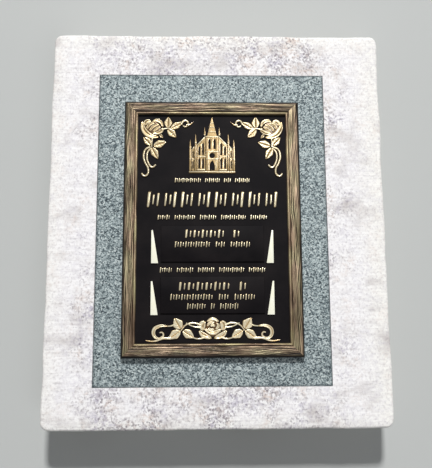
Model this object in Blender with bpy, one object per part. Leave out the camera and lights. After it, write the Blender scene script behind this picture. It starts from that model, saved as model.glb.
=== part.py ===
"""Flat grave marker: a cast bronze plaque on a granite base, set flush in a concrete apron.

The head of the marker points to +Y and its face to +Z. The origin is at the middle of the
underside. All sizes are in metres.
"""

import math

import bmesh
import bpy
from mathutils import Matrix, Vector

# Stone base and the concrete poured round it
MARKER_THICKNESS = 0.102
GRANITE_WIDTH = 0.538
GRANITE_LENGTH = 0.734
GRANITE_ARRIS = 0.003
APRON_LEFT = 0.112
APRON_RIGHT = 0.136
APRON_HEAD = 0.102
APRON_FOOT = 0.093
APRON_CORNER_RADIUS = 0.020
APRON_ARRIS = 0.005
SEAT_GAP = 0.0003

# Bronze plaque: a hollow-backed casting with a raised frame round a sunk panel
PLAQUE_WIDTH = 0.412
PLAQUE_LENGTH = 0.598
PLAQUE_DROP = 0.004
PANEL_HEIGHT = 0.010
PANEL_WALL = 0.005
RIM_WALL = 0.008
RELIEF_RISE = 0.003
RELIEF_ROOT = 0.001

# Frame, with wood grain cast in its face
FRAME_WIDTH = 0.032
FRAME_HEIGHT = 0.0185
FRAME_FILLET = 0.006
FRAME_OUTER_BEVEL = 0.007
GRAIN_DEPTH = 0.0016
GRAIN_WANDER = 0.0014
GRAIN_WAVE = 0.115
GRAIN_STATION = 0.044

# Name plates and the tapered bars that flank them
NAME_PLATE_WIDTH = 0.236
NAME_PLATE_HEIGHT = 0.083
NAME_PLATE_THICKNESS = 0.003
NAME_PLATE_ARRIS = 0.0008
NAME_STROKE_RISE = 0.002
BAR_CLEARANCE = 0.006
BAR_HEIGHT = 0.076
BAR_DROP = 0.0065
BAR_TOP_WIDTH = 0.0035
BAR_FOOT_WIDTH = 0.016

# Places down the panel, as shares of its length from the head
UPPER_PLATE_PLACE = 0.5785
LOWER_PLATE_PLACE = 0.7975

# Sprays of roses, drawn on a grid of units to their own height or width
CORNER_SPRAY_HEIGHT = 0.144
CORNER_SPRAY_GRID = 146.0
FOOT_SPRAY_WIDTH = 0.300
FOOT_SPRAY_GRID = 300.0
FOOT_SPRAY_MARGIN = 0.0025
STEM_DROP = 0.0005
VEIN_WIDTH = 0.0014

# Church emblem, drawn on a grid of units to its own height
EMBLEM_HEIGHT = 0.136
EMBLEM_GRID = 136.0
EMBLEM_MARGIN = 0.006

# Rows of strokes, in groups like words; places are shares down the panel or the plate
WORD_SPACE = 0.9
STROKE_LEAN = 0.10
STROKE_TAPER = 0.16
PANEL_ROW_HEIGHT = 0.0115
PANEL_ROW_PLACES = (0.299, 0.463, 0.691)
PANEL_ROW_WIDTHS = (0.176, 0.254, 0.242)
PANEL_ROW_WORDS = ((7, 4, 2, 4), (3, 5, 4, 6, 4), (3, 4, 4, 6, 4))
LARGE_ROW_HEIGHT = 0.038
LARGE_ROW_PLACE = 0.3845
LARGE_ROW_WIDTH = 0.312
LARGE_ROW_GROUPS = 8
NAME_ROW_HEIGHT = 0.020
DATE_ROW_HEIGHT = 0.014
UPPER_ROW_PLACES = (0.225, 0.520)
UPPER_ROW_WIDTHS = (0.129, 0.175)
UPPER_ROW_WORDS = ((5, 1), (7, 2, 4))
LOWER_ROW_PLACES = (0.263, 0.555, 0.806)
LOWER_ROW_WIDTHS = (0.157, 0.194, 0.118)
LOWER_ROW_WORDS = ((6, 1), (8, 2, 4), (4, 1, 4))

# Worked out from the sizes above
APRON_WIDTH = APRON_LEFT + GRANITE_WIDTH + APRON_RIGHT
APRON_LENGTH = APRON_HEAD + GRANITE_LENGTH + APRON_FOOT
GRANITE_X = (APRON_LEFT - APRON_RIGHT) / 2
GRANITE_Y = (APRON_FOOT - APRON_HEAD) / 2
PLAQUE_Y = GRANITE_Y - PLAQUE_DROP
PANEL_WIDTH = PLAQUE_WIDTH - 2 * FRAME_WIDTH
PANEL_LENGTH = PLAQUE_LENGTH - 2 * FRAME_WIDTH


def clear_scene():
    """Remove every object of the scene that is open."""
    for old in list(bpy.data.objects):
        bpy.data.objects.remove(old)


def new_collection(name):
    """Add a collection to the scene."""
    collection = bpy.data.collections.new(name)
    bpy.context.scene.collection.children.link(collection)
    return collection


def make_material(name, colour, roughness, metallic):
    """A plain Principled finish."""
    material = bpy.data.materials.new(name)
    material.use_nodes = True
    shader = material.node_tree.nodes["Principled BSDF"]
    shader.inputs["Base Color"].default_value = (*colour, 1.0)
    shader.inputs["Roughness"].default_value = roughness
    shader.inputs["Metallic"].default_value = metallic
    return material


def add_object(name, mesh, collection, parent=None, material=None):
    """Put a mesh in a collection, under a parent and with a finish."""
    item = bpy.data.objects.new(name, mesh)
    collection.objects.link(item)
    item.parent = parent
    if material:
        mesh.materials.append(material)
    return item


def box_mesh(name, size, low_z):
    """A box centred on Z that stands on the height low_z."""
    shape = bmesh.new()
    bmesh.ops.create_cube(shape, size=1.0)
    scaled = Matrix.Diagonal((size[0], size[1], size[2], 1.0))
    moved = Matrix.Translation((0.0, 0.0, low_z + size[2] / 2))
    bmesh.ops.transform(shape, matrix=moved @ scaled, verts=shape.verts)
    mesh = bpy.data.meshes.new(name)
    shape.to_mesh(mesh)
    shape.free()
    return mesh


def bevel_edges(mesh, chosen, width, segments):
    """Bevel the edges that the test picks."""
    shape = bmesh.new()
    shape.from_mesh(mesh)
    edges = [edge for edge in shape.edges if chosen(edge)]
    bmesh.ops.bevel(
        shape,
        geom=edges,
        offset=width,
        segments=segments,
        profile=0.5,
        affect="EDGES",
    )
    shape.to_mesh(mesh)
    shape.free()


def is_upright(edge):
    """True for an edge along Z."""
    along = edge.verts[1].co - edge.verts[0].co
    return abs(along.z) > 0.99 * along.length


def is_at_height(height):
    """A test for edges that lie at one height."""
    return lambda edge: all(abs(vert.co.z - height) < 1e-5 for vert in edge.verts)


def hide_helper(item):
    """Mark an object as a tool that cuts or joins another one."""
    item.hide_render = True
    item.display_type = "WIRE"


def join_with(item, operation, other=None, group=None):
    """Add an exact Boolean modifier that works with an object or a collection."""
    modifier = item.modifiers.new(operation.title(), "BOOLEAN")
    modifier.operation = operation
    modifier.solver = "EXACT"
    if group:
        modifier.operand_type = "COLLECTION"
        modifier.collection = group
    else:
        modifier.object = other


def extruded_outlines(name, outlines, low_z, high_z, collection, parent):
    """Flat outlines, with any holes inside them, extruded between two heights."""
    curve = bpy.data.curves.new(name, "CURVE")
    curve.dimensions = "2D"
    curve.fill_mode = "BOTH"
    curve.extrude = (high_z - low_z) / 2
    for outline in outlines:
        spline = curve.splines.new("POLY")
        spline.points.add(len(outline) - 1)
        for point, place in zip(spline.points, outline):
            point.co = (place[0], place[1], 0.0, 1.0)
        spline.use_cyclic_u = True
    drawn = bpy.data.objects.new(name + "_outline", curve)
    collection.objects.link(drawn)
    bpy.context.view_layer.update()

    graph = bpy.context.evaluated_depsgraph_get()
    mesh = bpy.data.meshes.new_from_object(drawn.evaluated_get(graph))
    bpy.data.objects.remove(drawn)
    shape = bmesh.new()
    shape.from_mesh(mesh)
    bmesh.ops.remove_doubles(shape, verts=shape.verts, dist=1e-6)
    bmesh.ops.recalc_face_normals(shape, faces=shape.faces)
    bmesh.ops.translate(shape, vec=(0.0, 0.0, (low_z + high_z) / 2), verts=shape.verts)
    shape.to_mesh(mesh)
    shape.free()

    mesh.name = name
    item = add_object(name, mesh, collection, parent)
    hide_helper(item)
    return item


def smooth_line(points, samples):
    """Points along the smooth curve that passes through the given points."""
    knots = [Vector(point) for point in points]
    knots = [2 * knots[0] - knots[1], *knots, 2 * knots[-1] - knots[-2]]
    spans = len(knots) - 3
    line = []
    for index in range(samples + 1):
        place = index / samples * spans
        span = min(int(place), spans - 1)
        t = place - span
        a, b, c, d = knots[span:span + 4]
        line.append(0.5 * (2 * b + (c - a) * t + (2 * a - 5 * b + 4 * c - d) * t**2
                           + (3 * b - a - 3 * c + d) * t**3))
    return line


def ribbon(points, start_width, end_width, samples):
    """Outline of a stem that follows the points and tapers evenly."""
    line = smooth_line(points, samples)
    left, right = [], []
    for index, place in enumerate(line):
        before = line[max(index - 1, 0)]
        after = line[min(index + 1, samples)]
        along = (after - before).normalized()
        side = Vector((-along.y, along.x))
        half = (start_width + (end_width - start_width) * index / samples) / 2
        left.append(place + half * side)
        right.append(place - half * side)
    return left + right[::-1]


def leaf(base, tip, width):
    """Outlines of a pointed leaf and of the sunk vein down its middle."""
    base, tip = Vector(base), Vector(tip)
    along = tip - base
    side = Vector((-along.y, along.x)).normalized()
    stations = (0.10, 0.28, 0.48, 0.70, 0.88)
    fullness = [math.sin(math.pi * station**0.8) ** 0.85 for station in stations]
    left = [base + along * s + side * width / 2 * f for s, f in zip(stations, fullness)]
    right = [base + along * s - side * width / 2 * f for s, f in zip(stations, fullness)]
    half_vein = VEIN_WIDTH / 2
    vein = [
        base + along * 0.20,
        base + along * 0.45 - side * half_vein,
        base + along * 0.78,
        base + along * 0.45 + side * half_vein,
    ]
    return [[base, *right, tip, *left[::-1]], vein]


def petal(points, width):
    """Outline of a petal seen on its edge: a crescent along a curved line, pointed at both ends."""
    samples = 6
    line = smooth_line(points, samples)
    left, right = [], []
    for index in range(1, samples):
        along = (line[index + 1] - line[index - 1]).normalized()
        side = Vector((-along.y, along.x))
        half = width / 2 * math.sin(math.pi * index / samples) ** 0.6
        left.append(line[index] + half * side)
        right.append(line[index] - half * side)
    return [line[0], *right, line[-1], *left[::-1]]


def place_on(points, unit, corner, flip):
    """Turn grid points, measured in from a corner of the panel, into places on the plaque."""
    return [(flip * (x * unit - corner[0]), corner[1] - y * unit) for x, y in points]


def corner_spray(side):
    """Leaves and petals, then stems, of the spray in an upper corner; side is 1 for the left."""
    unit = CORNER_SPRAY_HEIGHT / CORNER_SPRAY_GRID
    corner = (PANEL_WIDTH / 2, PANEL_LENGTH / 2)

    def put(*points):
        return place_on(points, unit, corner, side)

    petals = (
        (((10, 17), (11.5, 33), (20, 47), (33, 54.5), (50, 56)), 12),
        (((16, 28), (19.5, 18.5), (31, 16)), 9.5),
        (((32.5, 19.5), (43, 14.5), (54.5, 20), (59, 32.5)), 6.5),
        (((33, 45.5), (45.5, 46), (56, 40.5), (58.5, 33)), 7.5),
        (((21, 37), (27, 25.5), (39.5, 20.5)), 6.5),
        (((27.5, 42.5), (35, 31), (50, 24)), 5.6),
        (((35.5, 43), (43, 36), (54, 29.5)), 5.6),
    )
    flowers = [petal(put(*points), width * unit) for points, width in petals]
    leaves = (
        ((51, 50), (60, 58), 7),
        ((71, 33), (72, 6), 19),
        ((78, 35), (106, 19), 16),
        ((71, 37), (91, 57), 18),
        ((31, 76), (13, 56), 16),
        ((37, 78), (67, 68), 18),
        ((33, 82), (48, 110), 18),
    )
    for base, tip, width in leaves:
        flowers += leaf(*put(base, tip), width * unit)
    stems = [
        ribbon(put((57, 37), (67, 35), (81, 34)), 4.4 * unit, 3.4 * unit, 4),
        ribbon(put((34, 57), (33, 70), (33, 81)), 4.4 * unit, 3.4 * unit, 4),
        ribbon(
            put((103, 25), (107, 17), (114, 15), (119, 22), (114, 30), (107, 28)),
            4.4 * unit, 3.4 * unit, 12,
        ),
        ribbon(put((117, 27), (123, 25), (132, 18)), 5.2 * unit, 1.6 * unit, 4),
        ribbon(
            put((30, 80), (19, 86), (14, 100), (17, 117), (25, 134), (23, 148), (15, 151),
                (10, 145)),
            4.8 * unit, 4.2 * unit, 16,
        ),
        ribbon(
            put((32, 83), (24, 92), (22, 106), (26, 121), (34, 130), (43, 124)),
            4.6 * unit, 4.0 * unit, 11,
        ),
    ]
    return flowers, stems


def foot_spray():
    """Leaves and petals, then stems, of the wide spray along the foot of the panel."""
    unit = FOOT_SPRAY_WIDTH / FOOT_SPRAY_GRID
    middle = (0.0, FOOT_SPRAY_MARGIN - PANEL_LENGTH / 2)

    def put(side, *points):
        return [(side * x * unit, middle[1] + y * unit) for x, y in points]

    bud = (
        (((-14, 46), (0, 52), (14, 46)), 5.6),
        (((-12.5, 35), (-7.5, 42.5), (4.5, 45)), 4.6),
        (((9.5, 43), (12.5, 36), (6, 28)), 4.6),
        (((-11, 31.5), (-3.5, 27.5), (3, 30)), 4.2),
        (((-5.5, 35.5), (0, 38.5), (5, 35)), 5.0),
        (((-20, 30), (0, 20.5), (20, 30)), 7.5),
    )
    flowers = [petal(put(1, *points), width * unit) for points, width in bud]
    stems = []
    for side in (-1, 1):
        leaves = (
            ((72, 30), (86, 54), 23),
            ((73, 26), (99, 8), 20),
            ((67, 26), (42, 10), 20),
        )
        petals = (
            (((31, 26), (20, 15.5), (2.5, 9)), 10.5),
            (((17, 45), (27, 42), (29, 33), (23, 27.5)), 8),
        )
        flowers += [petal(put(side, *points), width * unit) for points, width in petals]
        for base, tip, width in leaves:
            flowers += leaf(*put(side, base, tip), width * unit)
        stems += [
            ribbon(
                put(side, (27, 39), (44, 43), (60, 39), (72, 26)),
                4.4 * unit, 3.6 * unit, 7,
            ),
            ribbon(put(side, (27, 33), (43, 35), (60, 43)), 3.8 * unit, 3.2 * unit, 5),
            ribbon(put(side, (18, 11), (32, 8), (47, 11)), 4.4 * unit, 3.4 * unit, 5),
            ribbon(
                put(side, (84, 40), (98, 35), (110, 33), (124, 31), (132, 21), (127, 11),
                    (117, 10), (112, 17), (117, 22)),
                5.0 * unit, 4.4 * unit, 17,
            ),
            ribbon(
                put(side, (94, 9), (112, 9), (126, 4), (138, 3), (150, 5)),
                6.4 * unit, 2.4 * unit, 8,
            ),
        ]
    return flowers, stems


def lancet(x, foot, width, height):
    """Outline of a window with a pointed head, as grid points."""
    half = width / 2
    spring = foot + height - 1.2 * width
    return [
        (x - half, foot),
        (x + half, foot),
        (x + half, spring),
        (x + 0.6 * half, spring + 0.7 * width),
        (x, foot + height),
        (x - 0.6 * half, spring + 0.7 * width),
        (x - half, spring),
    ]


def round_window(x, y, radius, sides):
    """Outline of a round window, as grid points."""
    turns = [math.tau * (k + 0.5) / sides for k in range(sides)]
    return [(x + radius * math.cos(turn), y + radius * math.sin(turn)) for turn in turns]


def church_outlines():
    """Outlines of a plain church front: a tower with a spire between gabled bays."""
    tower = [(-15, 5), (15, 5), (15, 90), (11, 90), (0, 136), (-11, 90), (-15, 90)]
    shapes = [
        tower,
        lancet(0, 5.8, 12, 25),
        round_window(0, 42, 6.5, 10),
        lancet(-6, 58, 5.4, 25),
        lancet(6, 58, 5.4, 25),
        [(-54, 0), (54, 0), (54, 4), (-54, 4)],
    ]
    for side in (-1, 1):
        outlines = (
            [(16.2, 5), (35.4, 5), (35.4, 68), (16.2, 88)],
            [(41.6, 5), (47.8, 5), (47.8, 56), (41.6, 64)],
            [(36.6, 5), (40.4, 5), (40.4, 74), (38.5, 96), (36.6, 74)],
            [(49.0, 5), (53.4, 5), (53.4, 62), (51.2, 82), (49.0, 62)],
            [(15, 91.4), (19.4, 91.4), (17.2, 112)],
            lancet(21.4, 10, 4.6, 26),
            lancet(30.2, 10, 4.6, 26),
            lancet(21.4, 43, 4.6, 30),
            lancet(30.2, 43, 4.6, 22),
            lancet(44.7, 10, 3.0, 20),
            lancet(44.7, 36, 3.0, 18),
        )
        shapes += [[(side * x, y) for x, y in outline] for outline in outlines]
    unit = EMBLEM_HEIGHT / EMBLEM_GRID
    foot = PANEL_LENGTH / 2 - EMBLEM_MARGIN - EMBLEM_HEIGHT
    return [[(x * unit, foot + y * unit) for x, y in outline] for outline in shapes]


def stroke(x, y, height, width):
    """Outline of one straight stroke, leaning a little and slimmer at its foot."""
    shift = STROKE_LEAN * height / 2
    low = width * (1 - STROKE_TAPER) / 2
    high = width * (1 + STROKE_TAPER) / 2
    return [
        (x - shift - low, y - height / 2),
        (x - shift + low, y - height / 2),
        (x + shift + high, y + height / 2),
        (x + shift - high, y + height / 2),
    ]


def stroke_pair(count, x, y, pitch, height):
    """Two parallel strokes in one place of a row, a taller one first, by turns shorter."""
    first, second = ((1.0, 0.74), (0.88, 0.62))[count % 2]
    return [
        stroke(x - 0.25 * pitch, y, first * height, 0.28 * pitch),
        stroke(x + 0.25 * pitch, y, second * height, 0.18 * pitch),
    ]


def stroke_row(length, place, height, width, words):
    """Outlines of a row of strokes in groups like words, placed from the head down."""
    spaces = WORD_SPACE * (len(words) - 1)
    pitch = width / (sum(words) + spaces)
    y = length / 2 - place * length
    x = -width / 2 + pitch / 2
    outlines = []
    count = 0
    for word in words:
        for _ in range(word):
            outlines += stroke_pair(count, x, y, pitch, height)
            x += pitch
            count += 1
        x += WORD_SPACE * pitch
    return outlines


def panel_rows():
    """Outlines of the small rows that stand on the panel itself."""
    outlines = []
    for place, width, words in zip(PANEL_ROW_PLACES, PANEL_ROW_WIDTHS, PANEL_ROW_WORDS):
        outlines += stroke_row(PANEL_LENGTH, place, PANEL_ROW_HEIGHT, width, words)
    return outlines


def plate_rows(places, widths, words):
    """Outlines of the rows on a name plate: a taller one above the others."""
    heights = [NAME_ROW_HEIGHT] + [DATE_ROW_HEIGHT] * (len(places) - 1)
    outlines = []
    for row in zip(places, heights, widths, words):
        outlines += stroke_row(NAME_PLATE_HEIGHT, *row)
    return outlines


def large_row():
    """Outlines of the large row: in each place a heavy stroke and two finer, shorter ones."""
    pitch = LARGE_ROW_WIDTH / LARGE_ROW_GROUPS
    y = PANEL_LENGTH / 2 - LARGE_ROW_PLACE * PANEL_LENGTH
    outlines = []
    for index in range(LARGE_ROW_GROUPS):
        x = (index + 0.5 - LARGE_ROW_GROUPS / 2) * pitch
        flip = 1 if index % 2 else -1
        outlines.append(stroke(x + flip * 0.27 * pitch, y, LARGE_ROW_HEIGHT, 0.18 * pitch))
        outlines.append(stroke(x, y, 0.62 * LARGE_ROW_HEIGHT, 0.11 * pitch))
        outlines.append(stroke(x - flip * 0.27 * pitch, y, 0.84 * LARGE_ROW_HEIGHT, 0.13 * pitch))
    return outlines


def plate_centre(place):
    """Distance of a name plate's middle from the middle of the panel."""
    return PANEL_LENGTH / 2 - place * PANEL_LENGTH


def tapered_bars():
    """Outlines of the four bars that flank the name plates, upright on their outer side."""
    inner = NAME_PLATE_WIDTH / 2 + BAR_CLEARANCE
    outer = inner + BAR_FOOT_WIDTH
    outlines = []
    for place in (UPPER_PLATE_PLACE, LOWER_PLATE_PLACE):
        top = plate_centre(place) + BAR_HEIGHT / 2 - BAR_DROP
        foot = top - BAR_HEIGHT
        for side in (-1, 1):
            outlines.append([
                (side * inner, foot),
                (side * outer, foot),
                (side * outer, top),
                (side * (outer - BAR_TOP_WIDTH), top),
            ])
    return outlines


def frame_section(turn):
    """Distances in from the outer edge and heights across the frame, at one turn of the grain."""
    crown = FRAME_WIDTH - FRAME_FILLET - FRAME_OUTER_BEVEL
    wander = [GRAIN_WANDER * math.sin(turn + phase) for phase in (0.0, 1.9, 4.1)]
    depth = [GRAIN_DEPTH * (0.75 + 0.25 * math.sin(2 * turn + phase)) for phase in (0.7, 3.0)]
    edge = FRAME_OUTER_BEVEL
    return [
        (0.0, 0.0),
        (0.0, 0.55 * FRAME_HEIGHT),
        (edge, FRAME_HEIGHT - 0.4 * GRAIN_DEPTH),
        (edge + 0.22 * crown + wander[0], FRAME_HEIGHT - depth[0]),
        (edge + 0.46 * crown + wander[1], FRAME_HEIGHT),
        (edge + 0.72 * crown + wander[2], FRAME_HEIGHT - depth[1]),
        (edge + 0.90 * crown, FRAME_HEIGHT - 0.2 * GRAIN_DEPTH),
        (edge + crown + 0.12 * FRAME_FILLET, FRAME_HEIGHT - 2.0 * GRAIN_DEPTH),
        (edge + crown + 0.60 * FRAME_FILLET, FRAME_HEIGHT - 0.8 * GRAIN_DEPTH),
        (FRAME_WIDTH, FRAME_HEIGHT - 2.4 * GRAIN_DEPTH),
        (FRAME_WIDTH, 0.0),
    ]


def frame_stations():
    """Each station round the frame: its outer corner or edge point, its inward step, its turn."""
    half = (PLAQUE_WIDTH / 2, PLAQUE_LENGTH / 2)
    corners = [Vector((sx * half[0], sy * half[1])) for sx, sy in ((-1, -1), (1, -1), (1, 1), (-1, 1))]
    stations = []
    travelled = 0.0
    for index, corner in enumerate(corners):
        end = corners[(index + 1) % 4]
        span = end - corner
        along = span.normalized()
        inward = Vector((-along.y, along.x))
        steps = round(span.length / GRAIN_STATION)
        for step in range(steps):
            share = step / steps
            turn = math.tau * (travelled + span.length * share) / GRAIN_WAVE
            stations.append((corner, span, inward, share, turn))
        travelled += span.length
    return stations


def frame_mesh():
    """The mitred frame: sections of unlike grain lofted round a rectangle."""
    shape = bmesh.new()
    rings = []
    for corner, span, inward, share, turn in frame_stations():
        length = span.length
        along = span / length
        ring = []
        for inset, height in frame_section(turn):
            run = inset + (length - 2 * inset) * share
            place = corner + along * run + inward * inset
            ring.append(shape.verts.new((place.x, place.y, height)))
        rings.append(ring)
    for ring, following in zip(rings, rings[1:] + rings[:1]):
        count = len(ring)
        for index in range(count):
            after = (index + 1) % count
            shape.faces.new((ring[index], ring[after], following[after], following[index]))
    bmesh.ops.triangulate(shape, faces=shape.faces)
    bmesh.ops.recalc_face_normals(shape, faces=shape.faces)
    mesh = bpy.data.meshes.new("bronze_plaque")
    shape.to_mesh(mesh)
    shape.free()
    return mesh


def make_apron(collection, cutters, material):
    """The concrete ring, poured round the granite and flush with it."""
    size = (APRON_WIDTH, APRON_LENGTH, MARKER_THICKNESS)
    mesh = box_mesh("concrete_apron", size, 0.0)
    bevel_edges(mesh, is_upright, APRON_CORNER_RADIUS, 4)
    bevel_edges(mesh, is_at_height(MARKER_THICKNESS), APRON_ARRIS, 2)
    apron = add_object("concrete_apron", mesh, collection, material=material)

    opening_size = (
        GRANITE_WIDTH + 2 * SEAT_GAP,
        GRANITE_LENGTH + 2 * SEAT_GAP,
        2 * MARKER_THICKNESS,
    )
    opening_mesh = box_mesh("granite_opening", opening_size, -MARKER_THICKNESS / 2)
    opening = add_object("granite_opening", opening_mesh, cutters)
    opening.location = (GRANITE_X, GRANITE_Y, 0.0)
    hide_helper(opening)
    join_with(apron, "DIFFERENCE", opening)


def make_granite(collection, material):
    """The granite base, with a small arris round its top."""
    size = (GRANITE_WIDTH, GRANITE_LENGTH, MARKER_THICKNESS)
    mesh = box_mesh("granite_base", size, 0.0)
    bevel_edges(mesh, is_at_height(MARKER_THICKNESS), GRANITE_ARRIS, 1)
    granite = add_object("granite_base", mesh, collection, material=material)
    granite.location = (GRANITE_X, GRANITE_Y, 0.0)


def make_plaque(collection, cutters, raised, parent, material):
    """The bronze casting: frame, panel and all the raised work on it, hollow behind."""
    plaque = add_object("bronze_plaque", frame_mesh(), collection, parent, material)

    sink = FRAME_WIDTH / 2
    panel_size = (PANEL_WIDTH + 2 * sink, PANEL_LENGTH + 2 * sink, PANEL_HEIGHT - RELIEF_ROOT)
    panel_mesh = box_mesh("panel", panel_size, RELIEF_ROOT)
    panel = add_object("panel", panel_mesh, cutters, parent)
    hide_helper(panel)
    join_with(plaque, "UNION", panel)

    low = PANEL_HEIGHT - RELIEF_ROOT
    high = PANEL_HEIGHT + RELIEF_RISE
    left_flowers, left_stems = corner_spray(1)
    right_flowers, right_stems = corner_spray(-1)
    foot_flowers, foot_stems = foot_spray()
    reliefs = {
        "left_flowers": left_flowers,
        "right_flowers": right_flowers,
        "foot_flowers": foot_flowers,
        "church": church_outlines(),
        "panel_strokes": panel_rows() + large_row(),
        "tapered_bars": tapered_bars(),
    }
    for name, outlines in reliefs.items():
        extruded_outlines(name, outlines, low, high, raised, parent)
    for index, outline in enumerate(left_stems + right_stems + foot_stems):
        extruded_outlines(f"stem_{index:02d}", [outline], low, high - STEM_DROP, raised, parent)
    join_with(plaque, "UNION", group=raised)

    pocket_size = (
        PLAQUE_WIDTH - 2 * RIM_WALL,
        PLAQUE_LENGTH - 2 * RIM_WALL,
        2 * (PANEL_HEIGHT - PANEL_WALL),
    )
    pocket_mesh = box_mesh("back_pocket", pocket_size, PANEL_WALL - PANEL_HEIGHT)
    pocket = add_object("back_pocket", pocket_mesh, cutters, parent)
    hide_helper(pocket)
    join_with(plaque, "DIFFERENCE", pocket)


def make_name_plate(name, place, outlines, collection, parent, material):
    """A thin plate of its own that lies on the panel, with its rows of strokes."""
    size = (NAME_PLATE_WIDTH, NAME_PLATE_HEIGHT, NAME_PLATE_THICKNESS)
    mesh = box_mesh(name, size, 0.0)
    bevel_edges(mesh, is_at_height(NAME_PLATE_THICKNESS), NAME_PLATE_ARRIS, 1)
    plate = add_object(name, mesh, collection, parent, material)
    plate.location = (0.0, plate_centre(place), PANEL_HEIGHT + SEAT_GAP)

    strokes = new_collection(name + "_strokes")
    low = NAME_PLATE_THICKNESS - RELIEF_ROOT
    high = NAME_PLATE_THICKNESS + NAME_STROKE_RISE
    extruded_outlines(name + "_row", outlines, low, high, strokes, plate)
    join_with(plate, "UNION", group=strokes)


def build_marker():
    """Build the whole marker."""
    clear_scene()
    marker = new_collection("flat_grave_marker")
    cutters = new_collection("cutters")
    raised = new_collection("raised_work")

    concrete = make_material("concrete", (0.80, 0.77, 0.76), 0.90, 0.0)
    granite = make_material("granite", (0.28, 0.32, 0.33), 0.55, 0.0)
    bronze = make_material("bronze", (0.19, 0.15, 0.11), 0.45, 1.0)
    dark_bronze = make_material("dark_bronze", (0.02, 0.016, 0.016), 0.60, 1.0)

    plaque_seat = bpy.data.objects.new("plaque_seat", None)
    marker.objects.link(plaque_seat)
    plaque_seat.location = (GRANITE_X, PLAQUE_Y, MARKER_THICKNESS + SEAT_GAP)

    make_apron(marker, cutters, concrete)
    make_granite(marker, granite)
    make_plaque(marker, cutters, raised, plaque_seat, bronze)
    upper_rows = plate_rows(UPPER_ROW_PLACES, UPPER_ROW_WIDTHS, UPPER_ROW_WORDS)
    lower_rows = plate_rows(LOWER_ROW_PLACES, LOWER_ROW_WIDTHS, LOWER_ROW_WORDS)
    plates = (
        ("name_plate_upper", UPPER_PLATE_PLACE, upper_rows),
        ("name_plate_lower", LOWER_PLATE_PLACE, lower_rows),
    )
    for name, place, outlines in plates:
        make_name_plate(name, place, outlines, marker, plaque_seat, dark_bronze)
    bpy.context.view_layer.update()


build_marker()
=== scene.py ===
# %% [markdown]
# # A flat grave marker
# A cast bronze plaque lies on a granite base, and a ring of pale concrete is poured round the
# stone, flush with its top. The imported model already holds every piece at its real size. This
# lesson keeps those sizes and gives each piece the shape and finish that a visitor sees: broomed
# concrete, speckled granite, wood grain cast in a frame, and brushed relief on a dark panel.

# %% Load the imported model
import math

import bmesh
import bpy
from mathutils import Matrix, Vector, noise


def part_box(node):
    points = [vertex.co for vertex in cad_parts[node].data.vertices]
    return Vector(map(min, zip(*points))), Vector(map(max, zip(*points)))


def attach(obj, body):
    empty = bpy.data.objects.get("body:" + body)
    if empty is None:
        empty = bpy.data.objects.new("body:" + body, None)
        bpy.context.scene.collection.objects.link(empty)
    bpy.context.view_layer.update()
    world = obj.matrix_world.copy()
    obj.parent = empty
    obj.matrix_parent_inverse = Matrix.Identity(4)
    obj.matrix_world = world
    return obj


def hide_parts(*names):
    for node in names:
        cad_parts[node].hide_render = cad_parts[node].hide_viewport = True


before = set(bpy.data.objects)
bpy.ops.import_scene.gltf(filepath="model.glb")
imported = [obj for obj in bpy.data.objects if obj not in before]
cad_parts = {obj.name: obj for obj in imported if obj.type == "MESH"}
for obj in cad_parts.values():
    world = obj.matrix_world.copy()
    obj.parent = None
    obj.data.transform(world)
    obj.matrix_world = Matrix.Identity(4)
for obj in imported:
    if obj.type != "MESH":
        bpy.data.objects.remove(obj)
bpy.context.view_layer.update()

# %% [markdown]
# ## Where everything lies
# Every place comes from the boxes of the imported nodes. The granite gives the middle of the marker
# and the height of the ground. The plaque gives the frame's outer size. The relief is drawn in
# the plaque's own coordinates: X and Y from the middle of the plaque, Z from the sunk panel.

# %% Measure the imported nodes
MM = 0.001

apron_low, apron_high = (Vector(corner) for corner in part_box("concrete_apron"))
granite_low, granite_high = (Vector(corner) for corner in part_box("granite_base"))
plaque_low, plaque_high = (Vector(corner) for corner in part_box("bronze_plaque"))
plaque_size = plaque_high - plaque_low
middle = (plaque_low + plaque_high) / 2
stone_middle = (granite_low + granite_high) / 2

FRAME_WIDTH = 32 * MM
PANEL_HEIGHT = 10 * MM
RELIEF_RISE = 3 * MM
RELIEF_ROOT = 1 * MM

panel_top = plaque_low.z + PANEL_HEIGHT
panel_width = plaque_size.x - 2 * FRAME_WIDTH
panel_length = plaque_size.y - 2 * FRAME_WIDTH
on_panel = Vector((middle.x, middle.y, panel_top))
print("panel", round(panel_width / MM), "by", round(panel_length / MM), "mm")

# %% [markdown]
# ## Hand tools
# Modelling by script goes as it does by hand: choose one object, open it in edit mode, select
# faces or edges, and use an operator. An operator acts on everything that is selected, so each
# of these small tools starts by selecting nothing.

# %% Select and edit
def choose(piece):
    """Select one object alone and make it active."""
    bpy.ops.object.select_all(action="DESELECT")
    piece.select_set(True)
    bpy.context.view_layer.objects.active = piece


def add_box(name, size, centre):
    """A box from the Add menu, with its size applied."""
    bpy.ops.mesh.primitive_cube_add(size=1, location=centre)
    box = bpy.context.object
    box.name = name
    box.scale = size
    bpy.ops.object.transform_apply(location=True, rotation=True, scale=True)
    return box


def open_edit(piece):
    """Open a piece in edit mode with nothing selected."""
    choose(piece)
    bpy.ops.object.mode_set(mode="EDIT")
    bpy.ops.mesh.select_mode(type="FACE")
    bpy.ops.mesh.select_all(action="DESELECT")


def pick(piece, kind, test):
    """In edit mode, select only the faces or edges that pass a test."""
    bpy.ops.mesh.select_mode(type=kind)
    bpy.ops.mesh.select_all(action="DESELECT")
    shape = bmesh.from_edit_mesh(piece.data)
    for element in shape.faces if kind == "FACE" else shape.edges:
        if test(element):
            element.select_set(True)
    bmesh.update_edit_mesh(piece.data)


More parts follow.
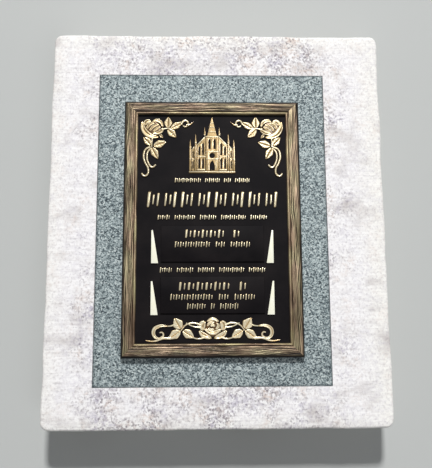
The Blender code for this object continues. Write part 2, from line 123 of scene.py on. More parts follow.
def close_edit():
    """Weld what meets, turn all faces outwards and leave edit mode."""
    bpy.ops.mesh.select_all(action="SELECT")
    bpy.ops.mesh.remove_doubles(threshold=0.00001)
    bpy.ops.mesh.normals_make_consistent(inside=False)
    bpy.ops.object.mode_set(mode="OBJECT")


def join(pieces, name):
    """Join several pieces into one object."""
    choose(pieces[0])
    for piece in pieces:
        piece.select_set(True)
    bpy.ops.object.join()
    joined = bpy.context.object
    joined.name = name
    joined.data.name = name
    return joined


def hand_over(piece, place, node, material, smooth=35):
    """Set a piece in its place for good, shade it, give it its material, hang it under the root and
    hide the node it stands for.
    """
    piece.location = place
    choose(piece)
    bpy.ops.object.transform_apply(location=True, rotation=True, scale=True)
    bpy.ops.object.shade_smooth_by_angle(angle=math.radians(smooth))
    piece.data.materials.clear()
    piece.data.materials.append(material)
    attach(piece, "root")
    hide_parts(node)
    triangles = sum(len(face.vertices) - 2 for face in piece.data.polygons)
    print(piece.name, "has", triangles, "triangles")


def set_on_panel(piece, material, smooth=35):
    """Hand over a piece of the plaque that was drawn on the panel."""
    hand_over(piece, on_panel, "bronze_plaque", material, smooth)


# %% [markdown]
# ## Finishes
# Each finish is one Principled shader with a few textures that read Object coordinates, so the
# pattern stays where it is on the piece, whatever the camera does. Short helpers keep the node
# trees readable: one feeds a socket, one does sums, one mixes colours and one maps a value to
# colours. Colours are written as they look on a screen and turned into linear light here.

# %% Helpers for node trees
def screen(red, green, blue):
    """A colour of 0 to 255 a channel, as linear light."""
    linear = []
    for channel in (red, green, blue):
        share = channel / 255
        linear.append(share / 12.92 if share <= 0.04045 else ((share + 0.055) / 1.055) ** 2.4)
    return (*linear, 1.0)


def new_material(name, roughness, metallic=0.0, specular=0.5):
    """A material with a Principled shader; returns it with its tree, shader and coordinates."""
    material = bpy.data.materials.new(name)
    material.use_nodes = True
    tree = material.node_tree
    shader = tree.nodes["Principled BSDF"]
    shader.inputs["Roughness"].default_value = roughness
    shader.inputs["Metallic"].default_value = metallic
    shader.inputs["Specular IOR Level"].default_value = specular
    place = tree.nodes.new("ShaderNodeTexCoord").outputs["Object"]
    print("finish", name)
    return material, tree, shader, place


def feed(tree, socket, value):
    """Link a socket to another one, or set its value."""
    if isinstance(value, bpy.types.NodeSocket):
        tree.links.new(value, socket)
    else:
        socket.default_value = value


def sums(tree, operation, first, second=0.0):
    """A Math node."""
    node = tree.nodes.new("ShaderNodeMath")
    node.operation = operation
    feed(tree, node.inputs[0], first)
    feed(tree, node.inputs[1], second)
    return node.outputs[0]


def times(tree, first, second):
    """Two values multiplied."""
    return sums(tree, "MULTIPLY", first, second)


def mix(tree, share, first, second, blend="MIX"):
    """A colour between two others."""
    node = tree.nodes.new("ShaderNodeMix")
    node.data_type = "RGBA"
    node.blend_type = blend
    feed(tree, node.inputs[0], share)
    feed(tree, node.inputs[6], first)
    feed(tree, node.inputs[7], second)
    return node.outputs[2]


def ramp(tree, value, stops, interpolation="LINEAR"):
    """Colours that follow a value; stops are pairs of a value and a colour."""
    node = tree.nodes.new("ShaderNodeValToRGB")
    node.color_ramp.interpolation = interpolation
    elements = node.color_ramp.elements
    while len(elements) < len(stops):
        elements.new(1.0)
    for element, (position, colour) in zip(elements, stops):
        element.position = position
        element.color = colour
    feed(tree, node.inputs[0], value)
    return node.outputs[0]


def between(tree, value, low, high):
    """A share from 0 to 1 of the way from low to high."""
    node = tree.nodes.new("ShaderNodeMapRange")
    node.inputs["From Min"].default_value = low
    node.inputs["From Max"].default_value = high
    feed(tree, node.inputs["Value"], value)
    return node.outputs["Result"]


def stretch(tree, place, scale):
    """Coordinates scaled along X, Y and Z."""
    node = tree.nodes.new("ShaderNodeMapping")
    node.inputs["Scale"].default_value = scale
    feed(tree, node.inputs["Vector"], place)
    return node.outputs["Vector"]


def cloud(tree, place, scale, detail=3.0, roughness=0.55):
    """A noise texture; returns a value about 0.5."""
    node = tree.nodes.new("ShaderNodeTexNoise")
    node.inputs["Scale"].default_value = scale
    node.inputs["Detail"].default_value = detail
    node.inputs["Roughness"].default_value = roughness
    feed(tree, node.inputs["Vector"], place)
    return node.outputs["Fac"]


def crystals(tree, place, scale):
    """Random values in cells, as in a stone made of grains."""
    node = tree.nodes.new("ShaderNodeTexVoronoi")
    node.inputs["Scale"].default_value = scale
    feed(tree, node.inputs["Vector"], place)
    parts = tree.nodes.new("ShaderNodeSeparateColor")
    tree.links.new(node.outputs["Color"], parts.inputs[0])
    return parts.outputs[0]


def axis_of(tree, place, axis):
    """One coordinate by itself."""
    node = tree.nodes.new("ShaderNodeSeparateXYZ")
    feed(tree, node.inputs[0], place)
    return node.outputs[axis]


def from_middle(tree, place, axis):
    """Distance from the middle of the stone along one axis."""
    offset = sums(tree, "SUBTRACT", axis_of(tree, place, axis), stone_middle[axis])
    return sums(tree, "ABSOLUTE", offset)


def bump(tree, shader, height, depth):
    """Fine relief from a texture."""
    node = tree.nodes.new("ShaderNodeBump")
    node.inputs["Distance"].default_value = depth
    feed(tree, node.inputs["Height"], height)
    tree.links.new(node.outputs["Normal"], shader.inputs["Normal"])


# %% [markdown]
# ## The concrete
# The apron was floated by hand and swept with a broom, then bleached by years of sun. It is
# almost white, and creamy towards its outer rim. Close to, it is full of flecks: grey, lilac and
# rust-coloured fines. They are dense at the head and foot, in patches on the sides beside the
# stone, and sparse in the corners. A fleck is a place where a fine noise is high, and a second,
# slower noise says how dense the flecks are. A noise stretched along X adds faint broom marks.
# The sides lie in the ground, so they have few flecks and some stains of soil.

# %% Concrete finish
STRIP_START = -50 * MM
STRIP_FULL = 10 * MM
RIM_X = 120 * MM
RIM_Y = 95 * MM
CORNER_FULL = -30 * MM
CORNER_CLEAR = 60 * MM
SOIL_START = 12 * MM
SOIL_FULL = 60 * MM
FAINTEST_FLECKS = 0.24


def make_concrete():
    """Pale broomed concrete."""
    material, tree, shader, place = new_material("broomed_concrete", 0.92, specular=0.05)
    half = (granite_high - granite_low) / 2
    off_x, off_y = from_middle(tree, place, 0), from_middle(tree, place, 1)
    past_x = between(tree, off_x, half.x, half.x + RIM_X)
    past_y = between(tree, off_y, half.y, half.y + RIM_Y)
    outward = sums(tree, "MAXIMUM", past_x, past_y)

    streaks = cloud(tree, stretch(tree, place, (16, 240, 60)), 1.0, 4.0, 0.7)
    smudges = cloud(tree, stretch(tree, place, (1, 1.5, 1)), 11.0, 5.0, 0.6)
    rim = between(tree, outward, 0.55, 1.0)
    colour = mix(tree, rim, screen(250, 248, 248), screen(250, 248, 243))
    marks = times(tree, between(tree, streaks, 0.50, 0.72), 0.45)
    colour = mix(tree, marks, colour, screen(216, 211, 208))
    colour = mix(tree, between(tree, smudges, 0.52, 0.74), colour, screen(204, 198, 195))

    # How dense the flecks are: patches on the sides, strips at the head and foot
    patches = cloud(tree, place, 15.0, 4.0, 0.62)
    inner = between(tree, outward, 0.85, 0.10)
    on_sides = times(tree, between(tree, patches, 0.38, 0.70), inner)
    strips = between(tree, off_y, half.y + STRIP_START, half.y + STRIP_FULL)
    ends = between(tree, off_x, half.x + CORNER_CLEAR, half.x + CORNER_FULL)
    clear = sums(tree, "ADD", times(tree, ends, 0.75), 0.25)
    on_strips = times(tree, between(tree, patches, 0.28, 0.62), strips)
    on_strips = times(tree, on_strips, clear)
    density = sums(tree, "MAXIMUM", on_sides, on_strips)
    density = sums(tree, "MAXIMUM", density, FAINTEST_FLECKS)
    height = axis_of(tree, place, 2)
    sunk = between(tree, height, apron_high.z - SOIL_START, apron_high.z - SOIL_FULL)
    density = times(tree, density, sums(tree, "SUBTRACT", 1.0, times(tree, sunk, 0.7)))

    flecks = cloud(tree, stretch(tree, place, (1, 1.25, 1)), 105.0, 3.0, 0.7)
    fines = cloud(tree, stretch(tree, place, (1.3, 1, 1)), 165.0, 1.0, 0.5)
    stops = (
        (0.40, screen(184, 178, 192)),
        (0.52, screen(188, 180, 180)),
        (0.64, screen(212, 194, 184)),
    )
    tint = ramp(tree, cloud(tree, place, 26.0, 3.0), stops)
    share = times(tree, between(tree, flecks, 0.42, 0.60), density)
    colour = mix(tree, share, colour, tint)
    dark = times(tree, between(tree, fines, 0.52, 0.68), density)
    colour = mix(tree, times(tree, dark, 0.85), colour, screen(126, 118, 124))
    soil = times(tree, sunk, between(tree, smudges, 0.30, 0.65))
    colour = mix(tree, times(tree, soil, 0.55), colour, screen(148, 136, 118))
    tree.links.new(colour, shader.inputs["Base Color"])
    relief = sums(tree, "ADD", times(tree, streaks, 0.6), times(tree, flecks, 0.7))
    bump(tree, shader, relief, 0.0010)
    return material


concrete = make_concrete()

# %% [markdown]
# ## The granite
# Blue-grey granite is a close mass of crystals, two or three millimetres across: pale feldspar,
# mid grey quartz and dark mica. Cell textures give every crystal one flat colour, and a second,
# finer set breaks the cells up. The top is honed, so it shines only a little. A narrow strip
# along the edges is darker.

# %% Granite finish
EDGE_DARK_START = 6 * MM
EDGE_DARK_FULL = 1 * MM


def make_granite():
    """Honed blue-grey granite."""
    material, tree, shader, place = new_material("blue_grey_granite", 0.62, specular=0.1)
    large = crystals(tree, place, 330.0)
    small = crystals(tree, place, 580.0)
    grains = sums(tree, "ADD", times(tree, large, 0.62), times(tree, small, 0.38))
    stops = (
        (0.00, screen(54, 62, 68)),
        (0.24, screen(94, 106, 110)),
        (0.40, screen(140, 152, 154)),
        (0.58, screen(172, 184, 185)),
        (0.76, screen(208, 217, 215)),
    )
    colour = ramp(tree, grains, stops, "CONSTANT")
    veil = cloud(tree, place, 14.0, 3.0)
    faint = times(tree, between(tree, veil, 0.35, 0.75), 0.15)
    colour = mix(tree, faint, colour, screen(150, 160, 162))

    half = (granite_high - granite_low) / 2
    near_x = between(tree, from_middle(tree, place, 0), half.x - EDGE_DARK_START, half.x - EDGE_DARK_FULL)
    near_y = between(tree, from_middle(tree, place, 1), half.y - EDGE_DARK_START, half.y - EDGE_DARK_FULL)
    # A narrow strip along the edges is darker.
    edge_dark = times(tree, sums(tree, "MAXIMUM", near_x, near_y), 0.6)
    colour = mix(tree, edge_dark, colour, screen(84, 92, 95))
    tree.links.new(colour, shader.inputs["Base Color"])
    bump(tree, shader, grains, 0.0002)
    return material


granite = make_granite()

# %% [markdown]
# ## The bronze
# One casting shows three finishes. The panel is lacquered almost black. The frame is brown, dark
# in the grooves of its grain and rubbed bright on the ridges, with a highlight painted on the bead
# beside the panel and painted glare and shade on some boards, and weather has darkened some
# stretches of it. The relief is ground back to pale gold on top under a clear lacquer, while its
# walls stay dark, and that dark edge makes it stand out from a distance. So the gold follows the
# height above the panel, and its darker low parts also paint the shade in veins, dishes and
# between petals. The frame's brown follows an attribute that the grain itself leaves on every
# point, with each board's painted light in it. The foot spray and the tapered bars are paler than
# the rest, so the same function makes them with other colours.

# %% Bronze finishes
def make_panel():
    """The near-black lacquer of the panel."""
    material, tree, shader, place = new_material("dark_panel", 0.62, specular=0.1)
    sand = cloud(tree, place, 900.0, 2.0)
    haze = cloud(tree, place, 16.0, 3.0)
    colour = mix(tree, between(tree, haze, 0.35, 0.70), screen(13, 10, 13), screen(26, 22, 23))
    tree.links.new(colour, shader.inputs["Base Color"])
    bump(tree, shader, sand, 0.0002)
    return material


# Where the highlight painted on the bead starts and is full, measured in from the outer edge.
BEAD_HIGHLIGHT_START = 26.5 * MM
BEAD_HIGHLIGHT_FULL = 28 * MM


def make_frame_bronze():
    """Brown bronze that is bright on the ridges of its grain."""
    material, tree, shader, _ = new_material("wood_grain_bronze", 0.42, 0.55)
    relief = tree.nodes.new("ShaderNodeAttribute")
    relief.attribute_name = "ridge"
    grain = tree.nodes.new("ShaderNodeAttribute")
    grain.attribute_name = "along_grain"
    board = grain.outputs["Vector"]
    fibres = cloud(tree, stretch(tree, board, (26, 800, 1)), 1.0, 4.0, 0.7)
    bands = cloud(tree, stretch(tree, board, (11, 190, 1)), 1.0, 3.0, 0.6)
    hue = cloud(tree, stretch(tree, board, (14, 60, 1)), 1.0, 2.0)
    height = sums(tree, "ADD", relief.outputs["Fac"], fibres)
    height = sums(tree, "ADD", height, times(tree, bands, 1.3))
    stops = (
        (0.20, screen(24, 18, 16)),
        (0.44, screen(70, 60, 50)),
        (0.64, screen(124, 111, 93)),
        (0.90, screen(214, 200, 172)),
    )
    colour = ramp(tree, between(tree, height, 1.08, 2.30), stops)
    # Painted highlight: the bead beside the panel is paled in stretches along the board.
    bead_highlight = between(tree, axis_of(tree, board, 1), BEAD_HIGHLIGHT_START, BEAD_HIGHLIGHT_FULL)
    bead_highlight = times(tree, bead_highlight, between(tree, hue, 0.35, 0.60))
    colour = mix(tree, times(tree, bead_highlight, 0.75), colour, screen(222, 208, 172))
    weather = cloud(tree, stretch(tree, board, (6.5, 4, 1)), 1.0, 1.0)
    age = ramp(tree, weather, ((0.36, screen(196, 190, 188)), (0.60, screen(255, 255, 255))))
    colour = mix(tree, 1.0, colour, age, "MULTIPLY")
    patina = ramp(tree, hue, ((0.40, screen(255, 234, 226)), (0.60, screen(240, 242, 218))))
    tree.links.new(mix(tree, 0.8, colour, patina, "MULTIPLY"), shader.inputs["Base Color"])
    bump(tree, shader, fibres, 0.0006)
    return material


def make_gold(name, low, high, foot, rise, metallic=0.5):
    """Brushed bronze: dark at the foot of the relief, a mid tone, then pale gold on top; the dark
    low parts are patina and painted shade.
    """
    material, tree, shader, place = new_material(name, 0.30, metallic)
    shader.inputs["Coat Weight"].default_value = 1.0
    shader.inputs["Coat Roughness"].default_value = 0.15
    height = between(tree, axis_of(tree, place, 2), foot, foot + rise)
    brush = cloud(tree, stretch(tree, place, (500, 90, 90)), 1.0, 3.0, 0.6)
    tone = cloud(tree, place, 60.0, 2.0)
    light = mix(tree, between(tree, tone, 0.35, 0.68), low, high)
    light = mix(tree, times(tree, brush, 0.35), light, high)
    # Darker lower on the relief: partly the dark patina on its walls, partly painted shade in
    # veins, dishes and between petals.
    stops = (
        (0.00, screen(26, 20, 18)),
        (0.42, screen(124, 98, 70)),
        (0.68, screen(204, 184, 152)),
        (0.86, screen(230, 212, 182)),
        (0.97, screen(255, 255, 255)),
    )
    tint = ramp(tree, height, stops)
    tree.links.new(mix(tree, 1.0, light, tint, "MULTIPLY"), shader.inputs["Base Color"])
    bump(tree, shader, brush, 0.00005)
    return material


dark_panel = make_panel()
frame_bronze = make_frame_bronze()
PLATE_THICKNESS = 3 * MM
PLATE_STROKE_RISE = 2 * MM
PALE_RISE = 0.93 * RELIEF_RISE
plate_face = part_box("name_plate_upper")[0][2] + PLATE_THICKNESS
honey, straw = screen(214, 197, 158), screen(230, 219, 186)
gold = make_gold("brushed_gold", honey, straw, panel_top, RELIEF_RISE)
plate_gold = make_gold("brushed_gold_on_plates", honey, straw, plate_face, PLATE_STROKE_RISE)
peach, butter = screen(252, 232, 192), screen(255, 247, 216)
pale_gold = make_gold("brushed_pale_gold", peach, butter, panel_top, PALE_RISE)
pale, white = screen(255, 252, 226), screen(255, 254, 236)
cream = make_gold("brushed_cream", pale, white, panel_top, PALE_RISE, metallic=0.0)

# %% [markdown]
# ## The apron
# The ring starts as a box. Its top and bottom faces are inset, the inner faces are set to the
# stone's outline and removed, and a bridge joins the two rims: that is how a hole is opened by
# hand. Bevels round the corners and the top edge as a trowel does. Last, the ring is cut by
# planes into a fine net, so that its outer edges can wander by a millimetre or two, as they do
# when concrete is poured against turf. The wander comes from smooth noise, so neighbouring
# points move alike.

# %% Model the apron
APRON_CORNER = 20 * MM
APRON_EDGE = 6 * MM
APRON_NET = 26 * MM
APRON_WANDER = 2.0 * MM
APRON_LIFT = 0.4 * MM
WANDER_REACH = 90 * MM
STONE_GAP = 0.3 * MM


def sway(place, scale):
    """A smooth random shift along X, Y and Z, the same in every run."""
    shifts = (noise.noise(place * scale + Vector((0, 0, 9.7 * axis))) for axis in range(3))
    return Vector(tuple(shifts))


def make_apron():
    """The concrete ring round the stone."""
    size = apron_high - apron_low
    centre = (apron_low + apron_high) / 2
    apron = add_box("poured_apron", size, centre)
    open_edit(apron)
    pick(apron, "FACE", lambda face: abs(face.normal.z) > 0.9)
    bpy.ops.mesh.inset(thickness=0.05, use_individual=True)
    shape = bmesh.from_edit_mesh(apron.data)
    for face in [face for face in shape.faces if face.select]:
        for vert in face.verts:
            left = vert.co.x < centre.x
            foot = vert.co.y < centre.y
            vert.co.x = granite_low.x - STONE_GAP if left else granite_high.x + STONE_GAP
            vert.co.y = granite_low.y - STONE_GAP if foot else granite_high.y + STONE_GAP
    bmesh.update_edit_mesh(apron.data)
    bpy.ops.mesh.delete(type="ONLY_FACE")
    bpy.ops.mesh.select_mode(type="EDGE")
    bpy.ops.mesh.select_all(action="DESELECT")
    bpy.ops.mesh.select_non_manifold()
    bpy.ops.mesh.bridge_edge_loops()

    def is_outer(place):
        return place.x < apron_low.x + MM or place.x > apron_high.x - MM

    pick(apron, "EDGE", lambda edge: is_outer(edge.verts[0].co) and is_outer(edge.verts[1].co)
         and abs(edge.verts[0].co.z - edge.verts[1].co.z) > 50 * MM)
    bpy.ops.mesh.bevel(offset=APRON_CORNER, segments=6, affect="EDGES")

    def is_rim(edge):
        high = all(vert.co.z > apron_high.z - MM for vert in edge.verts)
        wall = any(abs(face.normal.z) < 0.5 for face in edge.link_faces)
        inner = all(granite_low.x - MM < vert.co.x < granite_high.x + MM
                    and granite_low.y - MM < vert.co.y < granite_high.y + MM
                    for vert in edge.verts)
        return high and wall and not inner

    pick(apron, "EDGE", is_rim)
    bpy.ops.mesh.bevel(offset=APRON_EDGE, segments=3, affect="EDGES")

    for axis in range(2):
        count = round(size[axis] / APRON_NET)
        normal = ((1, 0, 0), (0, 1, 0))[axis]
        for step in range(1, count):
            cut = apron_low.copy()
            cut[axis] += size[axis] * step / count
            bpy.ops.mesh.select_all(action="SELECT")
            bpy.ops.mesh.bisect(plane_co=cut, plane_no=normal)
    close_edit()

    for vert in apron.data.vertices:
        out_x = max(granite_low.x - vert.co.x, vert.co.x - granite_high.x, 0.0)
        out_y = max(granite_low.y - vert.co.y, vert.co.y - granite_high.y, 0.0)
        reach = min(math.hypot(out_x, out_y) / WANDER_REACH, 1.0) ** 3
        shift = sway(vert.co, 14.0) + 0.5 * sway(vert.co, 45.0)
        vert.co.x += APRON_WANDER * reach * shift.x
        vert.co.y += APRON_WANDER * reach * shift.y
        if vert.co.z > apron_high.z - MM:
            vert.co.z += APRON_LIFT * reach * shift.z
    return apron


apron = make_apron()
hand_over(apron, (0, 0, 0), "concrete_apron", concrete)

# %% [markdown]
# ## The granite base
# A sawn slab has straight sides and a small bevel, the arris, that keeps its top edges from
# chipping. A box with bevelled top edges is all it takes; the stone is in the finish.

# %% Model the base
ARRIS = 3 * MM


def make_base():
    """The granite slab with its arris."""
    base = add_box("granite_slab", granite_high - granite_low, stone_middle)
    open_edit(base)
    pick(base, "EDGE", lambda edge: all(vert.co.z > granite_high.z - MM for vert in edge.verts))
    bpy.ops.mesh.bevel(offset=ARRIS, segments=2, profile=0.6, affect="EDGES")
    close_edit()
    return base


base = make_base()
hand_over(base, (0, 0, 0), "granite_base", granite, smooth=20)

# %% [markdown]
# ## The back of the casting
# A bronze marker is cast hollow behind: a plate of about five millimetres with a rim that lies on
# the stone. A box is shrunk to the panel and half of the frame, and its underside is inset and
# pushed up.

# %% Model the panel
PANEL_WALL = 5 * MM
RIM_WALL = 8 * MM


def make_panel_plate():
    """The sunk panel with the pocket behind it."""
    size = (panel_width + FRAME_WIDTH, panel_length + FRAME_WIDTH, PANEL_HEIGHT)
    plate = add_box("panel_plate", size, (0, 0, -PANEL_HEIGHT / 2))
    open_edit(plate)
    pick(plate, "FACE", lambda face: face.normal.z < -0.9)
    bpy.ops.mesh.inset(thickness=RIM_WALL)
    lift = PANEL_HEIGHT - PANEL_WALL
    bpy.ops.mesh.extrude_region_move(TRANSFORM_OT_translate={"value": (0, 0, lift)})
    close_edit()
    return plate


plate = make_panel_plate()
set_on_panel(plate, dark_panel)

# %% [markdown]
# ## Shapes drawn as fields
# Grain, leaves and petals are all gentle surfaces over an outline. Each starts as a grid from the
# Add menu. A formula moves its points: across and along give the outline, and a third value
# gives the height. Then the rim is extruded down, flattened and filled, which closes the form.
# Two small functions serve all the formulas: a share kept from 0 to 1, and a rounded shoulder.

# %% A grid shaped by a formula
def clamp(value):
    """A value kept from 0 to 1."""
    return min(max(value, 0), 1)


def shoulder(side):
    """1 over the middle of a form and falling off to 0 at its sides, -1 and 1."""
    return math.sqrt(max(1 - abs(side) ** 6, 0))


def field(name, columns, rows, shape, low):
    """A closed form: a grid moved by shape(across, along), walled down to the height low."""
    bpy.ops.mesh.primitive_grid_add(x_subdivisions=columns, y_subdivisions=rows, size=1)
    piece = bpy.context.object
    piece.name = name
    for vert in piece.data.vertices:
        vert.co = shape(vert.co.x + 0.5, vert.co.y + 0.5)
    open_edit(piece)
    bpy.ops.mesh.select_all(action="SELECT")
    bpy.ops.mesh.remove_doubles(threshold=0.00001)
    bpy.ops.mesh.select_mode(type="EDGE")
    bpy.ops.mesh.select_all(action="DESELECT")
    bpy.ops.mesh.select_non_manifold()
    bpy.ops.mesh.extrude_region_move(TRANSFORM_OT_translate={"value": (0, 0, -MM)})
    bpy.ops.transform.resize(value=(1, 1, 0), center_override=(0, 0, low))
    bpy.ops.mesh.edge_face_add()
    close_edit()
    return piece


# %% [markdown]
# ## The frame
# The frame is cast from a pattern of weathered boards. Each bar is a field: its section has an
# outer bevel, a broad face, a thin groove and a bead beside the panel. The grain is a set of
# grooves that wander, because a slow noise shifts them sideways along the bar. The bar is
# narrower at its inner edge, and that gives the mitres. Two values stay with every point for
# the finish: how high it stands in the grain, times the light painted on its board, and where it
# lies along the board.

# %% Section and grain
FRAME_SECTION = (
    (0.0, 10.2), (1.2, 12.6), (5.4, 17.0), (7.6, 18.0), (15.0, 18.4), (24.6, 18.1),
    (25.6, 17.2), (26.4, 15.6), (27.1, 16.0), (28.2, 17.4), (30.2, 17.3), (32.0, 14.8),
)
GRAIN_SPACING = 3.9 * MM
GRAIN_DEPTH = 1.5 * MM
MITRE_BEAD = 1.6 * MM


def section_height(inset):
    """Height of the plain section at a distance in from the outer edge."""
    for (x0, z0), (x1, z1) in zip(FRAME_SECTION, FRAME_SECTION[1:]):
        if inset <= x1 * MM + 1e-9:
            share = (inset / MM - x0) / (x1 - x0)
            return (z0 + (z1 - z0) * share) * MM
    return FRAME_SECTION[-1][1] * MM


def drift(x, y, seed):
    """A smooth random value about 0 at a place on one board."""
    return noise.noise(Vector((x, y, seed * 7.3)))


def grain_groove(run, inset, seed):
    """Share of a groove's depth at a place on a board, 0 on the ridges."""
    sideways = 5.5 * MM * drift(run / 0.110, inset / 0.020, seed)
    sideways += 1.6 * MM * drift(run / 0.030, inset / 0.008, seed + 1)
    phase = (inset + sideways) / GRAIN_SPACING
    notch = 1 - abs(math.sin(math.pi * phase)) ** 0.72
    strength = 0.65 + 0.9 * drift(run / 0.060, inset / 0.006, seed + 2)
    return notch * max(0.0, min(strength, 1.0))


# %% Model the four bars
BAR_ROWS = 46
BAR_STEP = 2.2 * MM
FACE_START = 2 * MM
FACE_END = 26 * MM
# Painted light on the ridges of each bar (foot, right, head, left): the right bar lighter as a
# painted glare, the head and foot darker as painted shade.
BOARD_PAINTED_LIGHT = (0.84, 1.12, 0.78, 1.04)


def make_bar(index, length):
    """One bar of the frame, along X, with its outer edge on the X axis."""
    seed = index * 3 + 2

    def shape(across, along):
        inset = along * FRAME_WIDTH
        run = inset + (length - 2 * inset) * across
        on_face = clamp((inset - FACE_START) / (4 * MM)) * clamp((FACE_END - inset) / MM)
        groove = grain_groove(run, inset, seed) * on_face
        fibre = 0.22 * MM * drift(run / 0.022, inset / 0.0011, seed + 3) * on_face
        height = section_height(inset) - GRAIN_DEPTH * groove + fibre
        from_end = min(run, length - run) - inset
        if from_end < MITRE_BEAD:
            height = max(height, section_height(inset) - 0.3 * MM)
        return Vector((run - length / 2, inset, height))

    bar = field(f"frame_bar_{index}", round(length / BAR_STEP), BAR_ROWS, shape, 0.0)
    ridge = bar.data.attributes.new("ridge", "FLOAT", "POINT")
    along_grain = bar.data.attributes.new("along_grain", "FLOAT_VECTOR", "POINT")
    for vert in bar.data.vertices:
        run = vert.co.x + length / 2
        inset = vert.co.y
        plain = section_height(inset)
        high = 1 - clamp((plain - vert.co.z) / (1.1 * MM))
        crown = clamp((plain - 12.5 * MM) / (5.5 * MM))
        ridge.data[vert.index].value = high * crown * BOARD_PAINTED_LIGHT[index]
        along_grain.data[vert.index].vector = (run, inset, seed)
    return bar


def place_bar(bar, turn, reach):
    """Turn a bar round the plaque's middle and set its outer edge at its reach."""
    move = Matrix.Rotation(turn, 4, "Z") @ Matrix.Translation((0, -reach, 0))
    bar.data.transform(move)


bars = []
for index in range(4):
    long_side = index % 2 == 1
    bar = make_bar(index, plaque_size.y if long_side else plaque_size.x)
    place_bar(bar, index * math.pi / 2, plaque_size.x / 2 if long_side else plaque_size.y / 2)
    bars.append(bar)
board_frame = join(bars, "board_frame")
hand_over(board_frame, (middle.x, middle.y, plaque_low.z), "bronze_plaque",
          frame_bronze, smooth=50)

# %% [markdown]
# ## Leaves
# A leaf of cast bronze is a low dome over a pointed outline, dished a little along its middle. A
# sunk vein runs down it and finer ones branch to the sides. The formula follows the outline of
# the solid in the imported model, lets the rim swell in shallow lobes as a rose leaf's does, and
# lowers the dome where a vein runs.

# %% A leaf
VEIN_DEPTH = 1.0 * MM
VEIN_WIDTH = 0.9 * MM
SIDE_VEIN_DEPTH = 0.4 * MM
LOBES = 2.6


def make_leaf(start, tip, width):
    """A veined leaf from its stalk to its tip."""
    start, tip = Vector(start), Vector(tip)
    length = (tip - start).length
    turn = math.atan2(tip.y - start.y, tip.x - start.x)

    def shape(across, along):
        fullness = max(math.sin(math.pi * across ** 0.8), 0) ** 0.85
        lobe = abs(math.sin(math.pi * (across * LOBES + 0.25)))
        fullness *= 0.93 + 0.14 * lobe * math.sin(math.pi * across)
        side = 2 * along - 1
        y = side * width / 2 * fullness
        dish = 0.15 * max(1 - abs(side) / 0.8, 0)
        height = RELIEF_RISE * (0.50 + min(fullness * 3, 1) * (0.50 * shoulder(side) - dish))
        mid = math.exp(-(y / VEIN_WIDTH) ** 2) * min(across / 0.15, 1) * min((1 - across) / 0.25, 1)
        rib = max(math.cos(math.tau * (across * 5.0 - abs(side) * 1.1)), 0) ** 5
        height -= VEIN_DEPTH * mid + SIDE_VEIN_DEPTH * rib * (1 - abs(side) ** 3) * fullness
        return Vector((across * length, y, height))

    leaf = field("leaf", 36, 20, shape, -RELIEF_ROOT)
    leaf.data.transform(Matrix.Translation((start.x, start.y, 0)) @ Matrix.Rotation(turn, 4, "Z"))
    return leaf


# %% [markdown]
# ## Petals
# The roses are seen half from the side, so each petal shows as a crescent along a curved line,
# pointed at both ends. Its lips stand high and catch the light, and its middle is dished. The
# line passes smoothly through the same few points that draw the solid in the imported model, and
# the petal spreads a little beyond it, so that only thin dark lines stay between neighbours. A
# broad, low petal, the heart, lies under each rose and closes the gaps that are left.

# %% A petal along a curved line
def on_line(points, share):
    """The place at a share of the smooth line through the points."""
    knots = [Vector(point) for point in points]
    knots = [2 * knots[0] - knots[1], *knots, 2 * knots[-1] - knots[-2]]
    spans = len(knots) - 3
    span = min(int(share * spans), spans - 1)
    t = share * spans - span
    a, b, c, d = knots[span:span + 4]
    return 0.5 * (2 * b + (c - a) * t + (2 * a - 5 * b + 4 * c - d) * t ** 2
                  + (3 * b - a - 3 * c + d) * t ** 3)


PETAL_SPREAD = 2.2 * MM
# The heart lies low, so the finish paints it dark gold: painted shade inside each rose.
HEART_RISE = 1.2 * MM


def make_petal(points, width, rise=RELIEF_RISE):
    """One petal: a crescent with two high lips, and a fold along it if it is broad."""
    width += PETAL_SPREAD
    broad = clamp((width - 6 * MM) / (4 * MM))

    def shape(across, along):
        place = on_line(points, across)
        ahead = on_line(points, min(across + 0.01, 1)) - on_line(points, max(across - 0.01, 0))
        aside = Vector((-ahead.y, ahead.x)).normalized()
        fullness = max(math.sin(math.pi * across), 0) ** 0.6
        side = 2 * along - 1
        place = place + aside * side * width / 2 * fullness
        dish = 0.13 * max(1 - (side / 0.7) ** 2, 0)
        fold = broad * math.exp(-((side - 0.25) / 0.16) ** 2) * min(fullness ** 6 * 2, 1)
        lip = min(fullness * 2, 1) * (0.50 * shoulder(side) - dish)
        height = rise * (0.50 + lip - 0.45 * fold)
        return Vector((place.x, place.y, height))

    return field("petal", 26, 14, shape, -RELIEF_ROOT)


# %% [markdown]
# ## Stems and tendrils
# A stem is a curve with a round bevel, thinner towards its end. The curve is made a mesh, drawn
# tall and cut off level, so that it has a flat top with round shoulders, almost as high as a leaf.

# %% A stem
def make_stem(points, start_width, end_width):
    """A tapering stem through the points."""
    bpy.ops.curve.primitive_bezier_curve_add()
    stem = bpy.context.object
    curve = stem.data
    curve.dimensions = "3D"
    spline = curve.splines[0]
    spline.bezier_points.add(len(points) - 2)
    last = len(points) - 1
    for index, (knot, place) in enumerate(zip(spline.bezier_points, points)):
        knot.co = (place[0], place[1], 0)
        knot.handle_left_type = knot.handle_right_type = "AUTO"
        knot.radius = (start_width + (end_width - start_width) * index / last) / start_width
    curve.bevel_depth = start_width / 2
    curve.bevel_resolution = 4
    curve.resolution_u = 8
    curve.use_fill_caps = True
    bpy.ops.object.convert(target="MESH")
    open_edit(stem)
    close_edit()
    top = RELIEF_RISE - 0.1 * MM
    stem.data.transform(Matrix.Diagonal((1, 1, 1.6 * top / (start_width / 2), 1)))
    for vert in stem.data.vertices:
        vert.co.z = max(min(vert.co.z, top), -RELIEF_ROOT)
    return stem


